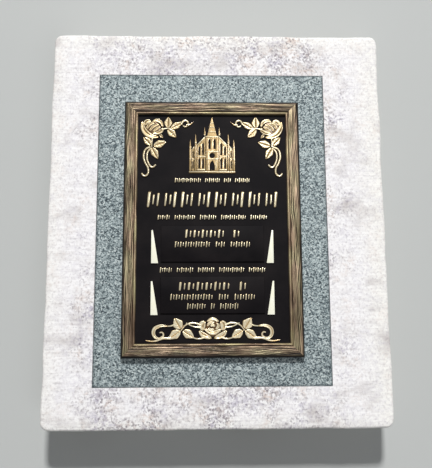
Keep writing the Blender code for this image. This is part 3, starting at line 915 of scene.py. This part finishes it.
# %% [markdown]
# ## The three sprays
# The corner sprays mirror each other, so one function draws both from points measured in from a
# corner of the panel. The foot spray is drawn from its middle, each half with the same points.
# Both are grown from three lists: petals, leaves and stems.

# %% Grow a spray from its lists
def grow(put, unit, petals, leaves, stems):
    """Petals, leaves and stems, each put in its place on the panel."""
    parts = [make_petal(put(*points), width * unit) for points, width in petals]
    parts += [make_leaf(*put(start, tip), width * unit) for start, tip, width in leaves]
    for points, start_width, end_width in stems:
        parts.append(make_stem(put(*points), start_width * MM, end_width * MM))
    return parts


# %% Corner sprays
SPRAY_UNIT = 144 / 146 * MM


def make_corner_spray(name, side):
    """The spray in an upper corner; side is 1 for the left corner."""
    def put(*points):
        corner_x = panel_width / 2
        corner_y = panel_length / 2
        return [(side * (x * SPRAY_UNIT - corner_x), corner_y - y * SPRAY_UNIT) for x, y in points]

    petals = (
        (((10, 17), (11.5, 33), (20, 47), (33, 54.5), (50, 56)), 12),
        (((16, 28), (19.5, 18.5), (31, 16)), 9.5),
        (((32.5, 19.5), (43, 14.5), (54.5, 20), (59, 32.5)), 6.5),
        (((33, 45.5), (45.5, 46), (56, 40.5), (58.5, 33)), 7.5),
        (((21, 37), (27, 25.5), (39.5, 20.5)), 6.5),
        (((27.5, 42.5), (35, 31), (50, 24)), 5.6),
        (((35.5, 43), (43, 36), (54, 29.5)), 5.6),
    )
    leaves = (
        ((51, 50), (60, 58), 7),
        ((71, 33), (72, 6), 19),
        ((78, 35), (106, 19), 16),
        ((71, 37), (91, 57), 18),
        ((31, 76), (13, 56), 16),
        ((37, 78), (67, 68), 18),
        ((33, 82), (48, 110), 18),
    )
    stems = (
        (((57, 37), (67, 35), (81, 34)), 4.4, 3.4),
        (((34, 57), (33, 70), (33, 81)), 4.4, 3.4),
        (((103, 25), (107, 17), (114, 15), (119, 22), (114, 30), (107, 28)), 5.2, 4.2),
        (((116, 27), (123, 25), (132, 18)), 6.4, 1.6),
        (((30, 80), (19, 86), (14, 100), (17, 117), (25, 134), (23, 148), (15, 151), (10, 145)),
         5.2, 4.6),
        (((32, 83), (24, 92), (22, 106), (26, 121), (34, 130), (43, 124)), 5.0, 4.4),
    )
    parts = grow(put, SPRAY_UNIT, petals, leaves, stems)
    parts.append(make_petal(put((30, 17), (33, 34), (36, 54)), 38 * SPRAY_UNIT, HEART_RISE))
    return join(parts, name)


for name, side in (("rose_spray_left", 1), ("rose_spray_right", -1)):
    set_on_panel(make_corner_spray(name, side), gold, smooth=50)

# %% Foot spray
FOOT_MARGIN = 2.5 * MM


def foot_half(side):
    """A function that puts points in one half of the foot spray, 1 or -1."""
    foot = FOOT_MARGIN - panel_length / 2
    return lambda *points: [(side * x * MM, foot + y * MM) for x, y in points]


def make_foot_spray():
    """The wide spray along the foot of the panel."""
    bud = (
        (((-14, 46), (0, 52), (14, 46)), 5.6),
        (((-12.5, 35), (-7.5, 42.5), (4.5, 45)), 4.6),
        (((9.5, 43), (12.5, 36), (6, 28)), 4.6),
        (((-11, 31.5), (-3.5, 27.5), (3, 30)), 4.2),
        (((-5.5, 35.5), (0, 38.5), (5, 35)), 5.0),
        (((-20, 30), (0, 20.5), (20, 30)), 7.5),
    )
    petals = (
        (((31, 26), (20, 15.5), (2.5, 9)), 10.5),
        (((18, 47), (24, 38), (22, 26)), 14.5),
        (((99, 36), (117, 37), (130, 31), (133, 20), (127, 10.5), (113, 9)), 6.5),
    )
    leaves = (((72, 30), (86, 54), 23), ((73, 26), (99, 8), 20), ((67, 26), (42, 10), 20))
    stems = (
        (((27, 39), (44, 43), (60, 39), (72, 26)), 4.4, 3.6),
        (((27, 33), (43, 35), (60, 43)), 3.8, 3.2),
        (((18, 11), (32, 8), (47, 11)), 4.4, 3.4),
        (((84, 41), (93, 37), (102, 36)), 4.0, 3.2),
        (((117, 10), (111, 15), (113, 22), (119, 22)), 5.2, 3.6),
        (((94, 9), (112, 9), (126, 4), (138, 3), (150, 5)), 6.4, 2.4),
    )
    parts = grow(foot_half(1), MM, bud, (), ())
    parts.append(make_petal(foot_half(1)((0, 12), (0, 30), (0, 50)), 34 * MM, HEART_RISE))
    for side in (-1, 1):
        parts += grow(foot_half(side), MM, petals, leaves, stems)
    return join(parts, "rose_spray_foot")


set_on_panel(make_foot_spray(), pale_gold, smooth=50)

# %% [markdown]
# ## Flat relief
# The church, the tapered bars and the strokes are flat on top with a soft edge. A closed 2D curve
# with an extrusion and a small bevel gives that at once, and a window is simply a second outline
# inside the first. The bevel would make the shape grow, so the outline is offset inwards by the
# same amount.

# %% Outlines with thickness
SOFT_EDGE = 0.35 * MM


def flat_relief(name, outlines, high, low=-RELIEF_ROOT, edge=SOFT_EDGE):
    """Closed outlines, with any windows in them, between two heights over the panel."""
    curve = bpy.data.curves.new(name, "CURVE")
    curve.dimensions = "2D"
    curve.fill_mode = "BOTH"
    curve.extrude = (high - low) / 2 - edge
    curve.bevel_depth = edge
    curve.bevel_resolution = 2
    curve.offset = -edge
    for outline in outlines:
        spline = curve.splines.new("POLY")
        spline.points.add(len(outline) - 1)
        for point, (x, y) in zip(spline.points, outline):
            point.co = (x, y, 0, 1)
        spline.use_cyclic_u = True
    piece = bpy.data.objects.new(name, curve)
    bpy.context.collection.objects.link(piece)
    choose(piece)
    bpy.ops.object.convert(target="MESH")
    piece = bpy.context.object
    piece.data.transform(Matrix.Translation((0, 0, (high + low) / 2)))
    open_edit(piece)
    close_edit()
    return piece


# %% [markdown]
# ## The church
# The emblem is a plain church front: a tower and spire between gabled bays, with buttresses and
# pointed windows. The walls come from outlines on a grid of millimetres. Copings, string courses
# and the top of the plinth are then laid on as narrow strips, a little higher than the walls, so
# that light catches their edges.

# %% Windows and walls
EMBLEM_MARGIN = 6 * MM
EMBLEM_HEIGHT = 136 * MM


def lancet(x, foot, width, height):
    """A window with a pointed head, on the emblem's grid."""
    half = width / 2
    spring = foot + height - 1.2 * width
    return [
        (x - half, foot), (x + half, foot), (x + half, spring),
        (x + 0.86 * half, spring + 0.40 * width), (x + 0.5 * half, spring + 0.82 * width),
        (x, foot + height),
        (x - 0.5 * half, spring + 0.82 * width), (x - 0.86 * half, spring + 0.40 * width),
        (x - half, spring),
    ]


def ring(x, y, radius, sides):
    """A round outline on the emblem's grid."""
    turns = [math.tau * (k + 0.5) / sides for k in range(sides)]
    return [(x + radius * math.cos(turn), y + radius * math.sin(turn)) for turn in turns]


def church_walls():
    """Outlines of the walls and their windows, on the emblem's grid."""
    walls = [
        [(-15, 5), (15, 5), (15, 90), (11, 90), (0, 136), (-11, 90), (-15, 90)],
        lancet(0, 5.8, 12, 25),
        ring(0, 42, 6.5, 24),
        lancet(-6, 58, 5.4, 25),
        lancet(6, 58, 5.4, 25),
        [(-54, 0), (54, 0), (54, 4), (-54, 4)],
    ]
    for side in (-1, 1):
        half_walls = (
            [(16.2, 5), (35.4, 5), (35.4, 68), (16.2, 88)],
            [(41.6, 5), (47.8, 5), (47.8, 56), (41.6, 64)],
            [(36.6, 5), (40.4, 5), (40.4, 74), (38.5, 96), (36.6, 74)],
            [(49.0, 5), (53.4, 5), (53.4, 62), (51.2, 82), (49.0, 62)],
            [(15, 91.4), (19.4, 91.4), (17.2, 112)],
            lancet(21.4, 10, 4.6, 26),
            lancet(30.2, 10, 4.6, 26),
            lancet(21.4, 43, 4.6, 30),
            lancet(30.2, 43, 4.6, 22),
            lancet(44.7, 10, 3.0, 20),
            lancet(44.7, 36, 3.0, 18),
        )
        walls += [[(side * x, y) for x, y in outline] for outline in half_walls]
    return walls


# %% Trim of the church
def beam(start, end, width):
    """Outline of a straight strip between two places on the emblem's grid."""
    start, end = Vector(start), Vector(end)
    side = (end - start).normalized()
    side = Vector((-side.y, side.x)) * width / 2
    return [tuple(p) for p in (start - side, end - side, end + side, start + side)]


def church_trim():
    """Outlines of the raised trim, on the emblem's grid."""
    courses = (
        (15, 33.5, 1.5), (15, 51.5, 1.5), (15, 87.5, 2.0),
        (8.6, 100, 1.2), (6.0, 111, 1.1), (3.6, 121, 1.0),
        (54, 2.8, 1.6),
    )
    trim = [beam((-reach, y), (reach, y), width) for reach, y, width in courses]
    for side in (-1, 1):
        strips = (
            ((9, 7.0), (9, 29), 1.3),
            ((16.6, 86.8), (35.2, 67.4), 1.8),
            ((16.6, 39.5), (35.0, 39.5), 1.4),
            ((16.6, 7.4), (35.0, 7.4), 1.8),
            ((41.8, 32.8), (47.6, 32.8), 1.4),
            ((36.8, 40.0), (40.2, 40.0), 1.6),
            ((36.8, 73.0), (40.2, 73.0), 1.4),
            ((49.2, 34.0), (53.2, 34.0), 1.6),
            ((49.2, 61.4), (53.2, 61.4), 1.4),
            ((41.8, 63.2), (47.6, 55.4), 1.5),
            ((15.2, 92.0), (19.2, 92.0), 1.2),
        )
        trim += [beam((side * x0, y0), (side * x1, y1), w) for (x0, y0), (x1, y1), w in strips]
    return trim


def emblem_place(outlines):
    """Outlines on the emblem's grid, set in their place on the panel."""
    foot = panel_length / 2 - EMBLEM_MARGIN - EMBLEM_HEIGHT
    return [[(x * MM, foot + y * MM) for x, y in outline] for outline in outlines]


walls = flat_relief("church_walls", emblem_place(church_walls()), RELIEF_RISE - 1.0 * MM,
                    edge=0.25 * MM)
trims = [
    flat_relief("church_trim", emblem_place([outline]), RELIEF_RISE, edge=0.25 * MM)
    for outline in church_trim()
]
church = join([walls, *trims], "church_emblem")
set_on_panel(church, gold, smooth=40)

# %% [markdown]
# ## Rows of strokes
# Rows of raised strokes cross the panel and the name plates. They are not letters. One stroke
# is modelled: a box whose sides are bevelled and whose top is drawn in by an inset. Every other
# stroke is a copy of that mesh, and a formula sets its size, its taper and its lean. The strokes
# stand in groups, with spaces between them as in a line of words.

# %% The pattern stroke
STROKE_LEAN = 0.10
STROKE_TAPER = 0.16


def make_pattern_stroke():
    """A stroke one unit wide, long and high, with soft ends."""
    pattern = add_box("pattern_stroke", (1, 1, 1), (0, 0, 0.5))
    open_edit(pattern)
    pick(pattern, "EDGE", lambda edge: abs(edge.verts[0].co.z - edge.verts[1].co.z) > 0.9)
    bpy.ops.mesh.bevel(offset=0.16, segments=2, affect="EDGES")
    pick(pattern, "FACE", lambda face: face.normal.z > 0.9)
    bpy.ops.transform.resize(value=(0.80, 0.94, 1), center_override=(0, 0, 1))
    bpy.ops.mesh.inset(thickness=0.09)
    bpy.ops.transform.translate(value=(0, 0, 0.12))
    close_edit()
    return pattern


pattern_stroke = make_pattern_stroke()


def copy_stroke(x, y, height, width, rise):
    """A stroke of a given size and place, tapered and leaning like its neighbours."""
    stroke = bpy.data.objects.new("stroke", pattern_stroke.data.copy())
    bpy.context.collection.objects.link(stroke)
    for vert in stroke.data.vertices:
        taper = 1 + 2 * STROKE_TAPER * vert.co.y
        vert.co = Vector((
            x + vert.co.x * width * taper + STROKE_LEAN * vert.co.y * height,
            y + vert.co.y * height,
            vert.co.z / 1.12 * (rise + RELIEF_ROOT) - RELIEF_ROOT,
        ))
    return stroke


def pair_of_strokes(count, x, y, pitch, height):
    """Place and size of the two parallel strokes in one place of a row, by turns shorter."""
    first, second = ((1.0, 0.74), (0.88, 0.62))[count % 2]
    return [
        (x - 0.25 * pitch, y, first * height, 0.28 * pitch),
        (x + 0.25 * pitch, y, second * height, 0.18 * pitch),
    ]


WORD_SPACE = 0.9


def row_strokes(y, height, width, words, rise):
    """One row of strokes in groups like words."""
    pitch = width / (sum(words) + WORD_SPACE * (len(words) - 1))
    x = -width / 2 + pitch / 2
    strokes = []
    count = 0
    for word in words:
        for _ in range(word):
            for stroke in pair_of_strokes(count, x, y, pitch, height):
                strokes.append(copy_stroke(*stroke, rise))
            x += pitch
            count += 1
        x += WORD_SPACE * pitch
    return strokes


def all_rows(rows, length, rise):
    """Rows of strokes; each place is a share of the length, each size is in millimetres."""
    strokes = []
    for place, height, width, words in rows:
        row_y = length * (0.5 - place)
        strokes += row_strokes(row_y, height * MM, width * MM, words, rise)
    return strokes


# %% Rows on the panel
SMALL_ROWS = (
    (0.299, 11.5, 176, (7, 4, 2, 4)),
    (0.463, 11.5, 254, (3, 5, 4, 6, 4)),
    (0.691, 11.5, 242, (3, 4, 4, 6, 4)),
)
LARGE_ROW_PLACE = 0.3845
LARGE_ROW_HEIGHT = 38 * MM
LARGE_ROW_WIDTH = 312 * MM
LARGE_ROW_GROUPS = 8

strokes = all_rows(SMALL_ROWS, panel_length, RELIEF_RISE)
pitch = LARGE_ROW_WIDTH / LARGE_ROW_GROUPS
row_y = panel_length * (0.5 - LARGE_ROW_PLACE)
for index in range(LARGE_ROW_GROUPS):
    x = (index + 0.5 - LARGE_ROW_GROUPS / 2) * pitch
    flip = 1 if index % 2 else -1
    trio = ((flip * 0.27, 1.00, 0.18), (0.0, 0.62, 0.11), (-flip * 0.27, 0.84, 0.13))
    for offset, tall, wide in trio:
        strokes.append(copy_stroke(
            x + offset * pitch, row_y, tall * LARGE_ROW_HEIGHT, wide * pitch, RELIEF_RISE))
set_on_panel(join(strokes, "panel_strokes"), gold, smooth=40)

# %% [markdown]
# ## The tapered bars
# Two long wedges stand beside each name plate, upright on their outer side. They are polished
# brighter than the rest, so they get the paler finish.

# %% Model the bars
BAR_CLEARANCE = 6 * MM
BAR_HEIGHT = 76 * MM
BAR_DROP = 6.5 * MM
BAR_TOP_WIDTH = 3.5 * MM
BAR_FOOT_WIDTH = 16 * MM

plate_boxes = {}
for node in ("name_plate_upper", "name_plate_lower"):
    low, high = (Vector(corner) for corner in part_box(node))
    plate_boxes[node] = (low, high)

outlines = []
for low, high in plate_boxes.values():
    inner = (high.x - low.x) / 2 + BAR_CLEARANCE
    outer = inner + BAR_FOOT_WIDTH
    top = (low.y + high.y) / 2 - middle.y + BAR_HEIGHT / 2 - BAR_DROP
    foot = top - BAR_HEIGHT
    for side in (-1, 1):
        outlines.append([
            (side * inner, foot),
            (side * outer, foot),
            (side * outer, top),
            (side * (outer - BAR_TOP_WIDTH), top),
        ])
set_on_panel(flat_relief("tapered_bars", outlines, RELIEF_RISE), cream)

# %% [markdown]
# ## The name plates
# Each name plate is a thin casting of its own that lies on the panel. It has the panel's dark
# lacquer, so only its edge and its rows show.

# %% Model the plates
PLATE_ARRIS = 0.8 * MM
PLATE_ROWS = {
    "name_plate_upper": ((0.225, 20, 129, (5, 1)), (0.520, 14, 175, (7, 2, 4))),
    "name_plate_lower": (
        (0.263, 20, 157, (6, 1)), (0.555, 14, 194, (8, 2, 4)), (0.806, 14, 118, (4, 1, 4)),
    ),
}

for node, (low, high) in plate_boxes.items():
    size = Vector((high.x - low.x, high.y - low.y, PLATE_THICKNESS))
    plate = add_box(node + "_sheet", size, (0, 0, -PLATE_THICKNESS / 2))
    open_edit(plate)
    pick(plate, "EDGE", lambda edge: all(vert.co.z > -MM / 10 for vert in edge.verts))
    bpy.ops.mesh.bevel(offset=PLATE_ARRIS, segments=2, affect="EDGES")
    close_edit()
    face = Vector(((low.x + high.x) / 2, (low.y + high.y) / 2, low.z + PLATE_THICKNESS))
    hand_over(plate, face, node, dark_panel)

    rows = join(all_rows(PLATE_ROWS[node], size.y, PLATE_STROKE_RISE), node + "_strokes")
    hand_over(rows, face, node, plate_gold, smooth=40)

bpy.data.objects.remove(pattern_stroke)

# %% [markdown]
# ## Floor, light and camera
# The marker lies on a plain pale floor. The key light stands far beyond the head, so that its
# light is even and throws the short shadow at the foot of the plaque. A weaker, broader one lifts
# the shadows. A small one above the right corner puts a glint on the spray there: it adds shine
# alone, because its diffuse share would whiten the concrete too. The camera is held over the
# foot of the marker, at the height of a standing person's hands.

# %% Floor
def make_floor():
    """A plain pale floor."""
    bpy.ops.mesh.primitive_plane_add(size=12, location=(0, 0, 0))
    floor = bpy.context.object
    floor.name = "studio_floor"
    material, _, shader, _ = new_material("studio_floor", 0.9)
    shader.inputs["Base Color"].default_value = screen(188, 190, 188)
    floor.data.materials.append(material)


make_floor()

# %% Lights
def add_light(name, place, target, size, power):
    """A square area light that faces a point."""
    bpy.ops.object.light_add(type="AREA", location=place)
    light = bpy.context.object
    light.name = name
    light.data.size = size
    light.data.energy = power
    aim = Vector(target) - Vector(place)
    light.rotation_euler = aim.to_track_quat("-Z", "Y").to_euler()
    print(name, "gives", power, "watts")
    return light


MARKER_MIDDLE = (0, 0, 0.1)
RIGHT_SPRAY = (0.145, 0.165, 0.115)
add_light("key_light", (0.3, 9.2, 9.2), MARKER_MIDDLE, size=1.4, power=1780)
add_light("fill_light", (2.4, -3.6, 5.0), MARKER_MIDDLE, size=3.5, power=60)
glint_light = add_light("glint_light", (0.345, 0.605, 1.613), RIGHT_SPRAY, size=0.35, power=5.2)
glint_light.visible_diffuse = False

world = bpy.data.worlds.new("studio_world")
bpy.context.scene.world = world
world.use_nodes = True
background = world.node_tree.nodes["Background"]
background.inputs["Color"].default_value = (0.93, 0.96, 1.0, 1)
background.inputs["Strength"].default_value = 0.20
bpy.context.scene.view_settings.view_transform = "Standard"

# %% Camera
PHOTO_HEIGHT = 468
FOCAL_PIXELS = 600
SENSOR = 36
FROM_STONE_TOP = Vector((-0.0272, -0.2337, 1.3753))
TURN_DEGREES = (8.783, -1.443, -0.290)
stone_top = Vector((stone_middle.x, stone_middle.y, granite_high.z))
bpy.ops.object.camera_add(location=stone_top + FROM_STONE_TOP)
camera = bpy.context.object
camera.rotation_euler = [math.radians(turn) for turn in TURN_DEGREES]
camera.data.sensor_fit = "VERTICAL"
camera.data.sensor_height = SENSOR
camera.data.lens = SENSOR * FOCAL_PIXELS / PHOTO_HEIGHT
bpy.context.scene.camera = camera
print("the camera stands", round(FROM_STONE_TOP.z, 2), "m above the stone")
